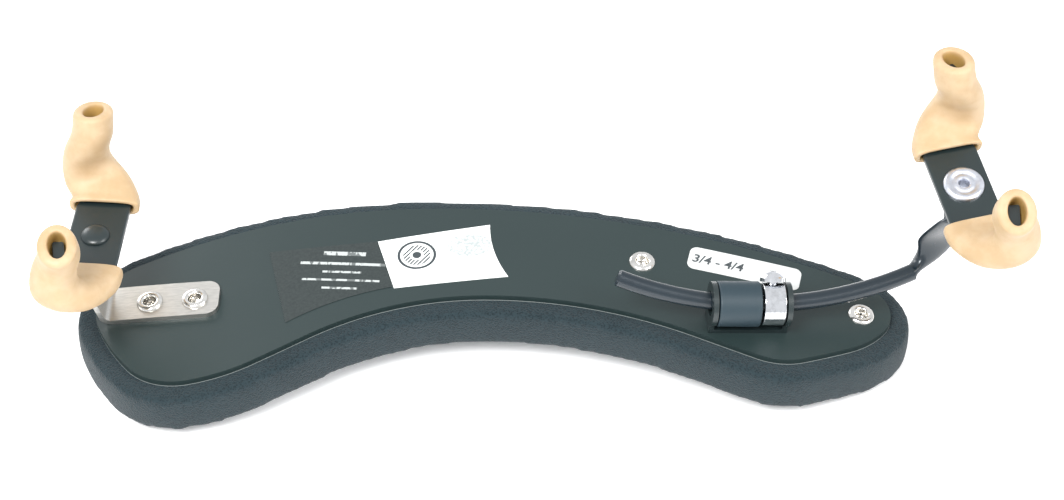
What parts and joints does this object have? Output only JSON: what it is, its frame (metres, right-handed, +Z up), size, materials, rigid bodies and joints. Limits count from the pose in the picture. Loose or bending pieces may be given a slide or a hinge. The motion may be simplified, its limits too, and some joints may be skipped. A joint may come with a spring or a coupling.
{
  "type": "violin shoulder rest",
  "caption": "Arched kidney-shaped plate on a foam pad, with swivelling forks in rubber tubes; a bent rod in a clamp sets height and width.",
  "frame": {"origin": "under the middle of the whole part, on the surface that the foam stands on", "axes": "+X from the fixed fork to the adjustable fork, +Y to the far side of the pad, +Z up to the violin"},
  "size_m": [0.2264, 0.0614, 0.0715],
  "materials": {
    "coated_plate": "satin dark grey coat on aluminium",
    "tape": "white double-sided tape",
    "foam": "open-cell dark foam",
    "dark_label": "dark printed foil",
    "white_label": "white paper label",
    "plated_rivet": "nickel plated",
    "steel": "brushed stainless",
    "black_steel": "black coated steel",
    "barrel": "matt black plastic",
    "chrome": "polished",
    "latex": "natural beige rubber"
  },
  "bodies": {
    "plate": {"base_plate": "coated_plate", "mounting_tape": "tape", "foam_pad": "foam", "maker_label": "dark_label", "white_label": "white_label", "size_label": "white_label", "plate_eyelets": "plated_rivet", "left_bracket": "steel", "bracket_eyelets": "plated_rivet", "left_washer": "steel", "left_pivot_rivet": "black_steel", "clamp_saddle": "black_steel", "saddle_rivets": "plated_rivet"},
    "left_fork": {"left_fork": "black_steel", "left_far_tube": "latex", "left_near_tube": "latex"},
    "clamp": {"clamp_barrel": "barrel", "clamp_collar": "chrome"},
    "clamp_screw": {"clamp_screw": "chrome"},
    "rod": {"height_rod": "black_steel", "right_washer": "steel", "right_pivot_rivet": "plated_rivet"},
    "right_fork": {"right_fork": "black_steel", "right_far_tube": "latex", "right_near_tube": "latex"}
  },
  "joints": [
    {"name": "left_fork_swivel", "type": "hinge", "parent": "plate", "child": "left_fork", "pos_m": [-0.1009, -0.00142, 0.0362], "axis": [0, 0, 1], "range_deg": [-40, 40]},
    {"name": "rod_roll", "type": "hinge", "parent": "plate", "child": "clamp", "pos_m": [0.05147, -0.00912, 0.02312], "axis": [0.9936, 0.0732, -0.0865], "range_deg": [-20, 25]},
    {"name": "rod_slide", "type": "hinge", "parent": "clamp", "child": "rod", "pos_m": [0.05183, 0.05981, 0.08555], "axis": [0.1132, -0.6673, 0.7361], "range_deg": [-8, 10]},
    {"name": "clamp_screw_turn", "type": "hinge", "parent": "clamp", "child": "clamp_screw", "pos_m": [0.0551, -0.00885, 0.0228], "axis": [0.0156, 0.6673, 0.7446], "range_deg": [0, 360]},
    {"name": "right_fork_swivel", "type": "hinge", "parent": "rod", "child": "right_fork", "pos_m": [0.0979, 0.00428, 0.0472], "axis": [0, -0.1736, 0.9848], "range_deg": [-40, 40]}
  ]
}
